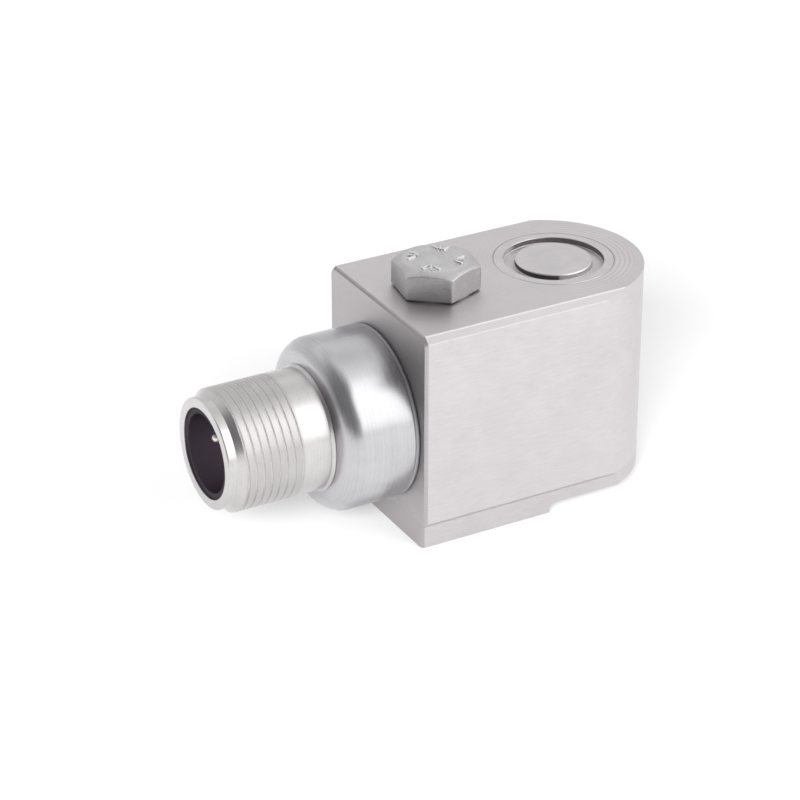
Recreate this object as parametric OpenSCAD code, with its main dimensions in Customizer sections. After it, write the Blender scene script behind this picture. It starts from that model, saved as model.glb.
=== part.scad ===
// Side-exit industrial vibration sensor in stainless steel: a block case on a through bolt, a
// compression sensing element under a welded cover, and a two-pin connector with an outside thread.
// Origin on the bolt axis at the mounting face, +Z up, connector towards -X.

/* [Case] */
// Width across the two long sides
case_w = 25; // [24:0.5:30]
// Height from the mounting face to the top
case_h = 29.8; // [29:0.2:36]
// Distance from the bolt axis to the front face
front_reach = 8.45; // [8.2:0.05:12]
// Distance from the bolt axis to the centre of the rounded end
end_x = 16.35; // [16:0.05:20]
// Chamfer along the two long top edges, running out over the rounded end
top_chamfer = 0.9; // [0.4:0.1:1.6]
// Small edge break round the front face
front_break = 0.35; // [0.2:0.05:0.6]
// Depth of the flat milled along the foot on each side
flat_depth = 0.8; // [0.4:0.1:1.2]
// Height of that flat
flat_h = 3; // [2.2:0.1:4]
// Distance from the bolt axis to the rear end of the mounting pad
pad_end = 10.4; // [8:0.1:13]
// Height of the relief under the rounded end
relief_h = 1.35; // [0.8:0.05:2]
// Inside radius where the pad meets the relief
pad_fillet = 0.7; // [0.3:0.1:0.8]

/* [Mounting bolt] */
// Diameter of the bolt
bolt_d = 6; // [5:0.5:6.5]
// Room between the bolt and its hole, on the diameter
bolt_room = 0.6; // [0.4:0.1:1]
// Length of the bolt under its head
bolt_len = 25; // [20:1:28]
// Size of the hex head across its flats
head_af = 10; // [9:0.5:11]
// Height of the head
head_h = 4; // [3:0.5:5]
// Height of the washer face under the hex
washer_face_h = 0.3; // [0.2:0.1:0.6]
// Turn of the hex about the bolt axis, in degrees
head_turn = 21.2; // [0:0.2:60]
// Slope of the chamfer on the head, in degrees
head_slope = 25; // [20:1:35]
// Inset of the head's top flat from the sides of the hex
head_top_inset = 0.9; // [0.2:0.05:1.2]
// Inset of the washer face from the sides of the hex
washer_inset = 0.25; // [0.1:0.05:0.6]
// Chamfer at the tip of the bolt
tip_chamfer = 0.6; // [0.3:0.1:1]

/* [Cover] */
// Distance of the sensing axis from the centre of the rounded end
sensor_shift = 1.05; // [0:0.05:1.5]
// Width of the ledge that carries the cover
cover_ledge = 0.6; // [0.4:0.1:1.2]
// Thickness of the cover
cover_t = 3; // [2.5:0.1:3.2]
// Outer diameter of the ring groove
groove_od = 13; // [12:0.1:14]
// Inner diameter of the ring groove
groove_id = 10; // [8.5:0.1:11]
// Depth of the ring groove
groove_depth = 0.8; // [0.5:0.1:1.8]
// Chamfer on the edge of the disc inside the groove
disc_chamfer = 0.2; // [0.1:0.05:0.4]

/* [Connector] */
// Height of the connector axis over the mounting face
connector_z = 14.55; // [14:0.05:17]
// Diameter of the boss
boss_d = 22.6; // [21:0.2:23.4]
// Length of the boss
boss_len = 10.15; // [9:0.05:13]
// Radius of the shoulder of the boss
boss_round = 2.7; // [1:0.1:3]
// Thickness of the weld bead where the boss meets the case
weld_bead = 0.64; // [0.5:0.02:0.8]
// Depth of the chamfer on the boss beside the weld bead
weld_groove = 0.3; // [0.2:0.02:0.34]
// Distance from the front face to the end of that chamfer
weld_run = 0.75; // [0.6:0.05:0.85]
// Bore through the boss
boss_bore = 14; // [13.6:0.1:14.6]
// Length of the spigot of the boss in the front face
spigot_len = 1.5; // [1:0.1:2]
// Wall of that spigot
spigot_wall = 1.2; // [0.6:0.1:1.4]
// Outer diameter of the thread
thread_d = 15.875; // [15:0.005:16.5]
// Length of the thread
thread_len = 8; // [6:0.1:10]
// Pitch of the thread, which is drawn as a row of ring grooves
thread_pitch = 1.058; // [0.9:0.002:1.3]
// Width of the thread's crests
crest_w = 0.6; // [0.3:0.05:0.7]
// Width of the thread's roots
root_w = 0.07; // [0.05:0.01:0.2]
// Slope of the thread's flanks, in degrees from square to the axis
thread_flank = 30; // [25:1:35]
// Length of the plain neck behind the thread
neck_len = 4.2; // [3:0.1:6]
// Rise of the weld collar where the neck meets the boss
collar_rise = 0.3; // [0.1:0.05:0.5]
// Length of the collar's straight part
collar_land = 0.15; // [0.05:0.05:0.4]
// Length of the cone from the collar down to the neck
collar_cone = 0.3; // [0.1:0.05:0.6]
// Length of the lead-in cone
lead_in = 0.75; // [0.4:0.05:1.2]
// Step from the thread's crests down to the lip
lip_step = 0.7625; // [0.6:0.0125:1]
// Length of the lip
lip_len = 1.25; // [0.6:0.05:2]
// Edge break on the lip
lip_break = 0.15; // [0.05:0.05:0.3]
// Bore of the shell
shell_bore = 11.74; // [11:0.02:12.2]
// Bore of the shell behind the insert
shell_rear_bore = 10; // [9.4:0.1:10.6]
// Length of the shell held inside the boss
shell_hold = 6; // [4:0.1:7]
// Clearance of the sliding fits, on the diameter
fit_room = 0.04; // [0.02:0.01:0.1]

/* [Insert and contacts] */
// Wall of the insert round the socket
insert_wall = 0.75; // [0.5:0.05:1]
// Thickness of the insert's floor
insert_floor = 3; // [2:0.1:4]
// Depth of the insert's rim below the lip
insert_recess = 0.3; // [0.1:0.1:1]
// Distance from the boss's front face to the insert's seat
insert_seat = 0.85; // [0.5:0.05:2]
// Diameter of a contact
pin_d = 1.6; // [1.2:0.1:2]
// Distance between the two contacts
pin_gap = 6.3; // [5.6:0.1:6.6]
// Depth of the contact tips below the lip
pin_recess = 2.6; // [2:0.1:5]
// Diameter of a solder cup
cup_d = 2.2; // [2:0.1:2.4]
// Length of a solder cup
cup_len = 3.5; // [2.5:0.1:4]
// Bore of a solder cup
cup_bore = 1.2; // [1.1:0.1:1.4]
// Depth of a solder cup's bore
cup_depth = 2.5; // [1.5:0.1:3]

/* [Sensing element] */
// Rim of the insulator and of the base's flange outside the shield can
flange_rim = 0.3; // [0.1:0.1:0.6]
// Thickness of the insulator
insulator_t = 0.8; // [0.5:0.1:1]
// Thickness of the base's flange
flange_t = 2.2; // [1.5:0.1:2.4]
// Diameter of the post
post_d = 4; // [3.5:0.1:4.2]
// Length of the post over the nut
post_over = 0.4; // [0.2:0.1:0.6]
// Wall of the insulating sleeve
sleeve_wall = 0.4; // [0.2:0.1:0.6]
// Diameter of the crystals
crystal_d = 9.6; // [8.5:0.1:10]
// Thickness of a crystal
crystal_t = 1.6; // [1:0.1:1.8]
// Thickness of the electrode
electrode_t = 0.2; // [0.1:0.05:0.3]
// Width of the electrode's tab
tab_w = 1.2; // [0.8:0.1:2]
// Diameter of the seismic mass
mass_d = 10.4; // [9.4:0.1:10.4]
// Height of the seismic mass
mass_h = 5; // [3:0.1:5.2]
// Room between the mass and the post, on the diameter
mass_room = 0.3; // [0.1:0.1:0.5]
// Diameter of the spring washer
washer_d = 8; // [7:0.1:9]
// Thickness of the spring washer
washer_t = 0.3; // [0.2:0.05:0.4]
// Free rise of the spring washer
washer_rise = 0.3; // [0.1:0.05:0.4]
// Size of the preload nut across its flats
nut_af = 7; // [6:0.5:8]
// Height of the preload nut
nut_h = 3.2; // [2:0.1:3.4]

/* [Shield and board] */
// Gap round the stack inside the shield can, for the element's wire
can_gap = 0.6; // [0.5:0.05:0.8]
// Wall of the shield can
can_wall = 0.3; // [0.2:0.05:0.5]
// Room over the post under the can's roof
can_room = 0.6; // [0.3:0.1:1]
// Thickness of the circuit board
board_t = 1; // [0.8:0.1:1.2]
// Inset of the circuit board from the edge of the can
board_inset = 0.1; // [0:0.05:0.3]
// Length of the amplifier chip
chip_l = 5; // [3:0.1:5.4]
// Width of the amplifier chip
chip_w = 4; // [3:0.1:4.4]
// Height of the amplifier chip
chip_h = 1.5; // [0.8:0.1:1.8]
// Length of the capacitor
capacitor_l = 3.2; // [1.6:0.1:3.4]
// Width of the capacitor
capacitor_w = 1.6; // [0.8:0.1:1.8]
// Height of the capacitor
capacitor_h = 1.4; // [0.8:0.1:1.8]
// Length of the resistor
resistor_l = 2; // [1:0.1:2.4]
// Width of the resistor
resistor_w = 1.25; // [0.5:0.05:1.6]
// Height of the resistor
resistor_h = 0.5; // [0.3:0.05:0.8]
// Distance of the capacitor and the resistor from the middle of the board, across the chip
part_shift = 3.6; // [3.4:0.1:4]
// Distance of these two parts towards the rounded end
part_offset = 1.6; // [1.2:0.1:2]

/* [Wiring] */
// Room between the amplifier chip and the cover
cover_room = 1.8; // [0.8:0.1:2.4]
// Gap between the can and the wall of the cavity, for the wires
riser_gap = 1.1; // [1:0.05:1.5]
// Diameter of the wires to the contacts
wire_d = 0.9; // [0.6:0.1:1]
// Diameter of the wire from the electrode
element_wire_d = 0.4; // [0.3:0.1:0.5]
// Diameter of the drilled wire passage beside the bolt hole
passage_d = 3; // [2.6:0.1:3.2]
// Inset of the passage from the circle on which the wires rise
passage_inset = 0.9; // [0.8:0.05:1.2]
// Distance between the two wires in the passage
wire_pitch = 1.1; // [1.1:0.05:1.3]
// Depth of the bore in the front face
front_bore_depth = 3.2; // [2.4:0.1:3.4]
// Room between a wire's end and the bottom of its solder cup
cup_play = 0.4; // [0.2:0.1:0.6]
// Straight length of a wire behind its solder cup
cup_exit = 1; // [0.9:0.1:1.4]
// Distance of a wire's end on the board from the edge of the board
joint_inset = 1; // [0.6:0.1:1.4]
// Height of the solder under a wire's end on the board
joint_h = 0.05; // [0.02:0.01:0.2]
// Length that a bend in a wire takes on each side of its corner
wire_bend = 0.8; // [0.6:0.05:0.8]

/* [Hidden] */
$fn = 96;

// Excess of a cutting shape past the face that it cuts
cut = 1;
steel = "#c9c6c6";
satin_steel = "#d8d6d4";

// Heights of the case
cover_z = case_h - cover_t;
section_mid = case_h / 2;
front_x = -front_reach;

// The sensing axis and the diameters about it, from the stack out to the cover
sensor_x = end_x + sensor_shift;
sleeve_d = post_d + 2 * sleeve_wall;
stack_d = max(crystal_d, mass_d);
can_bore = stack_d + 2 * can_gap;
can_d = can_bore + 2 * can_wall;
flange_d = can_d + 2 * flange_rim;
board_d = can_d - 2 * board_inset;
cavity_d = can_d + 2 * riser_gap;
cover_d = cavity_d + 2 * cover_ledge;

// The heights of the stack, whose cavity is as deep as the stack and the board need
element_h = insulator_t + flange_t + 2 * crystal_t + electrode_t + mass_h + washer_t + washer_rise
    + nut_h + post_over;
cavity_floor = cover_z - cover_room - chip_h - board_t - can_wall - can_room - element_h;
flange_z = cavity_floor + insulator_t;
stack_z = flange_z + flange_t;
electrode_z = stack_z + crystal_t;
upper_crystal_z = electrode_z + electrode_t;
mass_z = upper_crystal_z + crystal_t;
washer_z = mass_z + mass_h;
nut_z = washer_z + washer_t + washer_rise;
post_top = nut_z + nut_h + post_over;
can_top = post_top + can_room + can_wall;
board_top = can_top + board_t;

// Distances along the connector, measured forward from the front face
thread_start = boss_len + neck_len;
thread_end = thread_start + thread_len;
lip_start = thread_end + lead_in;
lip_d = thread_d - 2 * lip_step;
groove_w = thread_pitch - crest_w;
flank_w = (groove_w - root_w) / 2;
thread_root_r = thread_d / 2 - flank_w / tan(thread_flank);
thread_turns = floor(thread_len / thread_pitch);
mouth = lip_start + lip_len;
insert_back = boss_len + insert_seat;
insert_front = mouth - insert_recess;
socket_floor = insert_back + insert_floor;
pin_tip = mouth - pin_recess;
cup_back = insert_back - cup_len;
spigot_d = boss_bore + 2 * spigot_wall;

// The element's wire runs up between the mass and the can
element_wire_r = (stack_d + can_bore) / 4;
// The two other wires rise between the can and the wall of the cavity
riser_r = (can_d + cavity_d) / 4;
passage_y = riser_r - passage_inset;
signal_y = passage_y + wire_pitch / 2;
common_y = passage_y - wire_pitch / 2;
// How far the wires sit in the solder cups, and how far from the sensing axis they end
cup_hold = cup_depth - cup_play;
joint_r = board_d / 2 - joint_inset;
// Sides of a wire, steps in each bend, and a direction that no stretch of its route takes
wire_sides = 8;
bend_steps = 4;
wire_reference = [-1, 1, 1];

// Sets its children on the connector axis, with their own Z forward from the front face
module along_connector() {
    translate([front_x, 0, connector_z])
        rotate([0, -90, 0])
            children();
}

// Sets its children on the sensing axis
module on_sensing_axis(z = 0) {
    translate([sensor_x, 0, z])
        children();
}

// A flat ring
module ring(outer_d, inner_d, h) {
    difference() {
        cylinder(d = outer_d, h = h);
        translate([0, 0, -cut])
            cylinder(d = inner_d, h = h + 2 * cut);
    }
}

function unit(v) = v / norm(v);

// The points of a wire's route, with each corner turned into a short curve
function bent_route(p) =
    concat([p[0]],
        [for (i = [1 : len(p) - 2])
            let (a = p[i] + wire_bend * unit(p[i - 1] - p[i]),
                c = p[i] + wire_bend * unit(p[i + 1] - p[i]))
            for (t = [0 : 1 / bend_steps : 1])
                (1 - t) * (1 - t) * a + 2 * t * (1 - t) * p[i] + t * t * c],
        [p[len(p) - 1]]);

// A round tube swept along a wire's route
module wire(corners, d) {
    p = bent_route(corners);
    last = len(p) - 1;
    points = [for (i = [0 : last])
        let (along = unit(p[min(i + 1, last)] - p[max(i - 1, 0)]),
            side = unit(cross(wire_reference, along)),
            up = cross(along, side))
        for (j = [0 : wire_sides - 1])
            p[i] + d / 2 * (cos(360 * j / wire_sides) * side + sin(360 * j / wire_sides) * up)];
    walls = [for (i = [0 : last - 1], j = [0 : wire_sides - 1])
        let (k = (j + 1) % wire_sides)
        [i * wire_sides + j, (i + 1) * wire_sides + j, (i + 1) * wire_sides + k,
            i * wire_sides + k]];
    start = [for (j = [0 : wire_sides - 1]) j];
    end = [for (j = [wire_sides - 1 : -1 : 0]) last * wire_sides + j];
    polyhedron(points, concat(walls, [start, end]));
}

// Plan of the case: a rectangle with one half-round end
module case_plan() {
    translate([front_x, -case_w / 2])
        square([front_reach + end_x, case_w]);
    translate([end_x, 0])
        circle(d = case_w);
}

// Cross-section of the case, with the chamfered top edges and the flats along the foot
module case_section() {
    half = case_w / 2;
    side = [[half - flat_depth, 0], [half - flat_depth, flat_h], [half, flat_h + flat_depth],
        [half, case_h - top_chamfer], [half - top_chamfer, case_h]];
    mirrored = [for (i = [len(side) - 1 : -1 : 0]) [-side[i][0], side[i][1]]];
    polygon(concat(side, mirrored));
}

// One cut of the edge break on the front face, at a distance from the middle of the section
module front_edge_cut(angle, distance, length) {
    side = front_break * sqrt(2);
    translate([front_x, 0, section_mid])
        rotate([angle, 0, 0])
            translate([0, distance, 0])
                rotate([0, 0, 45])
                    cube([side, side, length], center = true);
}

// The edge break along the top, the sides, the chamfers and the flats
module front_edge_cuts() {
    half = case_w / 2;
    long = 2 * case_h;
    front_edge_cut(90, section_mid, long);
    for (s = [-1, 1]) {
        front_edge_cut(0, s * half, long);
        front_edge_cut(s * 45, s * (half + section_mid - top_chamfer) / sqrt(2), long);
        translate([0, 0, -section_mid - flat_h])
            front_edge_cut(0, s * (half - flat_depth), 4 * flat_h);
    }
}

// The relief under the rounded end, with a filleted step at the pad
module pad_relief() {
    reach = end_x + case_w;
    rotate([90, 0, 0])
        linear_extrude(2 * case_w, center = true) {
            translate([pad_end + pad_fillet, -cut])
                square([reach, relief_h + cut]);
            translate([pad_end, -cut])
                square([reach, relief_h - pad_fillet + cut]);
            translate([pad_end + pad_fillet, relief_h - pad_fillet])
                circle(r = pad_fillet);
        }
}

// Milled case with its bolt hole, sensing cavity, front bore and wire passage
module case() {
    color(satin_steel)
        difference() {
            intersection() {
                linear_extrude(case_h)
                    case_plan();
                translate([front_x - cut, 0, 0])
                    rotate([90, 0, 90])
                        linear_extrude(front_reach + end_x + case_w)
                            case_section();
            }
            front_edge_cuts();
            pad_relief();
            translate([0, 0, -cut])
                cylinder(d = bolt_d + bolt_room, h = case_h + 2 * cut);
            on_sensing_axis(cavity_floor)
                cylinder(d = cavity_d, h = case_h);
            on_sensing_axis(cover_z)
                cylinder(d = cover_d, h = cover_t + cut);
            along_connector()
                translate([0, 0, -front_bore_depth])
                    cylinder(d = spigot_d, h = front_bore_depth + cut);
            translate([front_x, passage_y, connector_z])
                rotate([0, 90, 0])
                    cylinder(d = passage_d, h = sensor_x - front_x);
        }
}

// Cover plug, flush with the top, with a ring groove round its middle disc
module cover() {
    color(satin_steel)
        on_sensing_axis(cover_z)
            rotate_extrude()
                difference() {
                    square([cover_d / 2, cover_t]);
                    translate([groove_id / 2, cover_t - groove_depth])
                        square([(groove_od - groove_id) / 2, groove_depth + cut]);
                    polygon([[groove_id / 2 - disc_chamfer, cover_t],
                        [groove_id / 2 + cut, cover_t - disc_chamfer - cut],
                        [groove_id / 2 + cut, cover_t]]);
                }
}

// Hex bolt with a washer face and a chamfered head
module mounting_bolt() {
    top_r = head_af / 2 - head_top_inset;
    washer_r = head_af / 2 - washer_inset;
    corner_r = head_af / sqrt(3);
    drop = (corner_r + cut - top_r) * tan(head_slope);
    color(steel)
        translate([0, 0, case_h]) {
            rotate_extrude()
                polygon([[0, washer_face_h + cut], [0, -bolt_len],
                    [bolt_d / 2 - tip_chamfer, -bolt_len], [bolt_d / 2, tip_chamfer - bolt_len],
                    [bolt_d / 2, 0], [washer_r, 0], [washer_r, washer_face_h],
                    [bolt_d / 2, washer_face_h + cut]]);
            intersection() {
                translate([0, 0, washer_face_h])
                    rotate(head_turn)
                        cylinder(r = corner_r, h = head_h - washer_face_h, $fn = 6);
                rotate_extrude()
                    polygon([[0, 0], [corner_r + cut, 0], [corner_r + cut, head_h - drop],
                        [top_r, head_h], [0, head_h]]);
            }
        }
}

// Turned boss with a large shoulder radius, a weld bead at the case and a spigot at the back
module connector_boss() {
    r = boss_d / 2;
    color(satin_steel)
        along_connector()
            rotate_extrude()
                difference() {
                    union() {
                        translate([0, -spigot_len])
                            square([spigot_d / 2, spigot_len + cut]);
                        square([r - weld_bead / 2, weld_run]);
                        translate([r - weld_bead / 2, weld_bead / 2])
                            circle(d = weld_bead);
                        polygon([[0, weld_run - weld_groove], [r - weld_groove, weld_run - weld_groove],
                            [r, weld_run], [r, boss_len - boss_round], [0, boss_len - boss_round]]);
                        square([r - boss_round, boss_len]);
                        translate([r - boss_round, boss_len - boss_round])
                            circle(r = boss_round);
                    }
                    translate([0, -spigot_len - cut])
                        square([boss_bore / 2, boss_len + spigot_len + 2 * cut]);
                }
}

// Turned shell: spigot in the boss, collar, neck, thread, lead-in and lip, with a stepped bore
module connector_shell() {
    r = thread_d / 2;
    collar_end = boss_len + collar_land;
    hold_r = (boss_bore - fit_room) / 2;
    back = [[shell_rear_bore / 2, boss_len - shell_hold], [hold_r, boss_len - shell_hold],
        [hold_r, boss_len], [r + collar_rise, boss_len], [r + collar_rise, collar_end],
        [r, collar_end + collar_cone]];
    grooves = [for (k = [thread_turns : -1 : 1])
        let (a = thread_end - k * thread_pitch)
        each [[r, a], [thread_root_r, a + flank_w], [thread_root_r, a + flank_w + root_w],
            [r, a + groove_w]]];
    front = [[r, thread_end], [lip_d / 2, lip_start], [lip_d / 2, mouth - lip_break],
        [lip_d / 2 - lip_break, mouth], [shell_bore / 2, mouth], [shell_bore / 2, insert_back],
        [shell_rear_bore / 2, insert_back]];
    color(satin_steel)
        along_connector()
            rotate_extrude()
                polygon(concat(back, grooves, front));
}

// Moulded insert: a floor that carries the contacts and a sleeve that lines the socket
module pin_insert() {
    outer_r = (shell_bore - fit_room) / 2;
    color("#2c262b")
        along_connector()
            difference() {
                rotate_extrude()
                    polygon([[0, insert_back], [outer_r, insert_back], [outer_r, insert_front],
                        [outer_r - insert_wall, insert_front], [outer_r - insert_wall, socket_floor],
                        [0, socket_floor]]);
                for (s = [-1, 1])
                    translate([0, s * pin_gap / 2, insert_back - cut])
                        cylinder(d = pin_d, h = insert_floor + 2 * cut);
            }
}

// One contact with a rounded tip and a solder cup at the back
module contact_pin(side) {
    r = pin_d / 2;
    color("#c9b27a")
        along_connector()
            translate([0, side * pin_gap / 2, 0])
                difference() {
                    union() {
                        translate([0, 0, insert_back])
                            cylinder(r = r, h = pin_tip - r - insert_back);
                        translate([0, 0, pin_tip - r])
                            sphere(r = r);
                        translate([0, 0, cup_back])
                            cylinder(d = cup_d, h = cup_len);
                    }
                    translate([0, 0, cup_back - cut])
                        cylinder(d = cup_bore, h = cup_depth + cut);
                }
}

// The contact on the far side
module contact_pin_a() {
    contact_pin(1);
}

// The contact on the near side
module contact_pin_b() {
    contact_pin(-1);
}

// Ceramic disc that isolates the element from the case
module base_insulator() {
    color("#f0ede2")
        on_sensing_axis(cavity_floor)
            cylinder(d = flange_d, h = insulator_t);
}

// Steel base with the post that carries the stack
module element_base() {
    color(steel)
        on_sensing_axis(flange_z) {
            cylinder(d = flange_d, h = flange_t);
            cylinder(d = post_d, h = post_top - flange_z);
        }
}

// Insulating sleeve between the post and the crystals
module post_sleeve() {
    color("#e8e6df")
        on_sensing_axis(stack_z)
            ring(sleeve_d, post_d, mass_z - stack_z);
}

// One piezo ceramic ring
module crystal(z) {
    color("#b9a98a")
        on_sensing_axis(z)
            ring(crystal_d, sleeve_d, crystal_t);
}

// The crystal under the electrode
module lower_crystal() {
    crystal(stack_z);
}

// The crystal over the electrode
module upper_crystal() {
    crystal(upper_crystal_z);
}

// Shim between the crystals, with a tab for the wire
module electrode() {
    color("#c08a4a")
        on_sensing_axis(electrode_z)
            difference() {
                union() {
                    cylinder(d = crystal_d, h = electrode_t);
                    translate([-tab_w / 2, -element_wire_r - element_wire_d / 2, 0])
                        cube([tab_w, element_wire_r, electrode_t]);
                }
                translate([0, 0, -cut])
                    cylinder(d = sleeve_d, h = electrode_t + 2 * cut);
            }
}

// Heavy ring that loads the crystals
module seismic_mass() {
    color("#77767a")
        on_sensing_axis(mass_z)
            ring(mass_d, post_d + mass_room, mass_h);
}

// Conical spring washer under the nut
module spring_washer() {
    inner_r = (post_d + mass_room) / 2;
    rim = washer_t + washer_rise;
    color(steel)
        on_sensing_axis(washer_z)
            rotate_extrude()
                polygon([[inner_r, washer_rise], [washer_d / 2, 0], [washer_d / 2, washer_t],
                    [inner_r, rim]]);
}

// Hex nut on the post
module preload_nut() {
    color(steel)
        on_sensing_axis(nut_z)
            difference() {
                cylinder(r = nut_af / sqrt(3), h = nut_h, $fn = 6);
                translate([0, 0, -cut])
                    cylinder(d = post_d, h = nut_h + 2 * cut);
            }
}

// Inner can on the base's flange, closed on top, with a hole for the element's wire
module shield_can() {
    color("#cfc9b8")
        on_sensing_axis(stack_z)
            difference() {
                cylinder(d = can_d, h = can_top - stack_z);
                translate([0, 0, -cut])
                    cylinder(d = can_bore, h = can_top - can_wall - stack_z + cut);
                translate([0, -element_wire_r, 0])
                    cylinder(d = 2 * element_wire_d, h = can_top);
            }
}

// Round board on the can's roof
module circuit_board() {
    color("#2f6b3c")
        on_sensing_axis(can_top)
            difference() {
                cylinder(d = board_d, h = board_t);
                translate([0, -element_wire_r, -cut])
                    cylinder(d = element_wire_d, h = board_t + 2 * cut);
            }
}

// A block on the board, centred at a place
module board_part(place, size) {
    on_sensing_axis(board_top)
        translate([place[0] - size[0] / 2, place[1] - size[1] / 2, 0])
            cube(size);
}

// Charge amplifier in the middle of the board
module amplifier_chip() {
    color("#222222")
        board_part([0, 0], [chip_l, chip_w, chip_h]);
}

// Coupling capacitor beside the chip
module capacitor() {
    color("#b98a3c")
        board_part([part_offset, part_shift], [capacitor_l, capacitor_w, capacitor_h]);
}

// Bias resistor on the other side of the chip
module resistor() {
    color("#303236")
        board_part([part_offset, -part_shift], [resistor_l, resistor_w, resistor_h]);
}

// Wire from the electrode's tab up to the board
module element_lead() {
    color("#d8d8d8")
        on_sensing_axis(upper_crystal_z)
            translate([0, -element_wire_r, 0])
                cylinder(d = element_wire_d, h = board_top - upper_crystal_z);
}

// Route of a wire from a solder cup, past the bolt hole and up to the board
function lead_route(pin_y, y) =
    let (x = sensor_x - sqrt(riser_r * riser_r - y * y),
        z = board_top + joint_h + wire_d / 2,
        k = joint_r / riser_r)
    [[front_x - cup_back - cup_hold, pin_y, connector_z],
        [front_x - cup_back + cup_exit, pin_y, connector_z],
        [front_x + front_bore_depth, y, connector_z],
        [x, y, connector_z],
        [x, y, z],
        [sensor_x + (x - sensor_x) * k, y * k, z]];

// Insulated wire from the far contact
module signal_lead() {
    color("#b23a32")
        wire(lead_route(pin_gap / 2, signal_y), wire_d);
}

// Insulated wire from the near contact
module common_lead() {
    color("#e9e7e2")
        wire(lead_route(-pin_gap / 2, common_y), wire_d);
}

case();
cover();
mounting_bolt();
connector_boss();
connector_shell();
pin_insert();
contact_pin_a();
contact_pin_b();
base_insulator();
element_base();
post_sleeve();
lower_crystal();
electrode();
upper_crystal();
seismic_mass();
spring_washer();
preload_nut();
shield_can();
circuit_board();
amplifier_chip();
capacitor();
resistor();
element_lead();
signal_lead();
common_lead();
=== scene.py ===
import math

import bmesh
import bpy
from mathutils import Matrix, Vector


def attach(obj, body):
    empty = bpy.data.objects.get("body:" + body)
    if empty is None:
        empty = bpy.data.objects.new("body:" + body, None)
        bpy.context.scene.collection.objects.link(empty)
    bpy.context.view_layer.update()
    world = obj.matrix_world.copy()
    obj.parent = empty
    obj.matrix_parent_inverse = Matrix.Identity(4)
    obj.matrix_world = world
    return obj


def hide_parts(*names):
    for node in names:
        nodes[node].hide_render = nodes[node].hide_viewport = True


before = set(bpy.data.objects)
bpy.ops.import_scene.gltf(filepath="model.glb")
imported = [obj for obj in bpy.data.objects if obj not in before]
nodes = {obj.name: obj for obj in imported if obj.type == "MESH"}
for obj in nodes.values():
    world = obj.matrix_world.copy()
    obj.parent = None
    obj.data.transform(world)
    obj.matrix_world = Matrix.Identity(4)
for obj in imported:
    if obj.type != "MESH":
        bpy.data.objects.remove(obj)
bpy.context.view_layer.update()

# Case: a block of stainless steel with one rounded end, milled all over and then ground, so fine
# level lines run round its sides and along its top. The cover is let into the top and welded, and
# the facing cut after that weld leaves faint rings about the sensing axis.
MM = 0.001
SENSOR_X, COVER_R, TOP_Z, FOOT_H = 17.4, 7.8, 29.8, 3.4
STEEL_DARK, STEEL_LIGHT = (0.50, 0.477, 0.485), (0.76, 0.727, 0.735)
# Each pair gives where a zone of the finish starts to show and where it is full
TOP_FACING, SLOPE_FROM, SLOPE_TO, FRONT_FACING = (0.9, 0.98), (0.3, 0.6), (0.95, 0.8), (-0.2, -0.6)
RING_STEP, RING_INNER, RING_OUTER, RING_FRONT = 0.62, (7.9, 8.2), (11.2, 9.4), (12.0, 22.0)
SEAM_R, SEAM_WIDTH = COVER_R + 0.05, (0.11, 0.03)
CHAMFER_TOP, CHAMFER_FOOT = (0.18, 0.1), (0.76, 0.84)
FOOT_EDGE, ROUND_END = (FOOT_H + 0.1, FOOT_H - 0.1), (19.0, 27.0)


def put(tree, kind, inputs=None, **settings):
    """Adds a node with its settings, and fills its inputs with values or with other sockets."""
    node = tree.nodes.new(kind)
    for name, value in settings.items():
        setattr(node, name, value)
    for name, value in (inputs or {}).items():
        if isinstance(value, bpy.types.NodeSocket):
            tree.links.new(value, node.inputs[name])
        else:
            node.inputs[name].default_value = value
    return node


def calc(tree, operation, *values):
    """One step of arithmetic on sockets and numbers."""
    return put(tree, "ShaderNodeMath", dict(enumerate(values)), operation=operation).outputs[0]


def both(tree, *masks):
    """The product of masks: where all of them show."""
    result = masks[0]
    for mask in masks[1:]:
        result = calc(tree, "MULTIPLY", result, mask)
    return result


def pile(tree, base, *shares):
    """A base with a share of each of some values on top."""
    for value, amount in shares:
        base = calc(tree, "MULTIPLY_ADD", value, amount, base)
    return base


def sway(tree, base, *shares):
    """A base that each of some noises moves up or down, about the noise's middle."""
    return pile(tree, base, *((calc(tree, "SUBTRACT", noise, 0.5), amount) for noise, amount in shares))


def away(tree, a, b):
    """Distance from an axis, from the two offsets across it."""
    return calc(tree, "SQRT", calc(tree, "ADD", calc(tree, "POWER", a, 2.0), calc(tree, "POWER", b, 2.0)))


def split(tree, vector):
    """The three parts of a vector."""
    return put(tree, "ShaderNodeSeparateXYZ", {0: vector}).outputs


def ease(tree, value, low, high, to_low=0.0, to_high=1.0):
    """A smooth step from one value to another."""
    limits = {"Value": value, "From Min": low, "From Max": high, "To Min": to_low, "To Max": to_high}
    return put(tree, "ShaderNodeMapRange", limits, interpolation_type="SMOOTHSTEP").outputs[0]


def grain(tree, vector, counts, detail=3.0, seed=0.0):
    """Noise with a count per millimetre, the same all ways or one for each axis."""
    counts = counts if isinstance(counts, tuple) else (counts, counts, counts)
    scaled = put(tree, "ShaderNodeVectorMath", {0: vector, 1: counts}, operation="MULTIPLY").outputs[0]
    settings = {"Vector": scaled, "W": seed, "Scale": 1.0, "Detail": detail, "Roughness": 0.6}
    return put(tree, "ShaderNodeTexNoise", settings, noise_dimensions="4D").outputs["Fac"]


def blend(tree, share, a, b):
    """A mix of two numbers."""
    return put(tree, "ShaderNodeMix", {0: share, 2: a, 3: b}, data_type="FLOAT").outputs[0]


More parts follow.
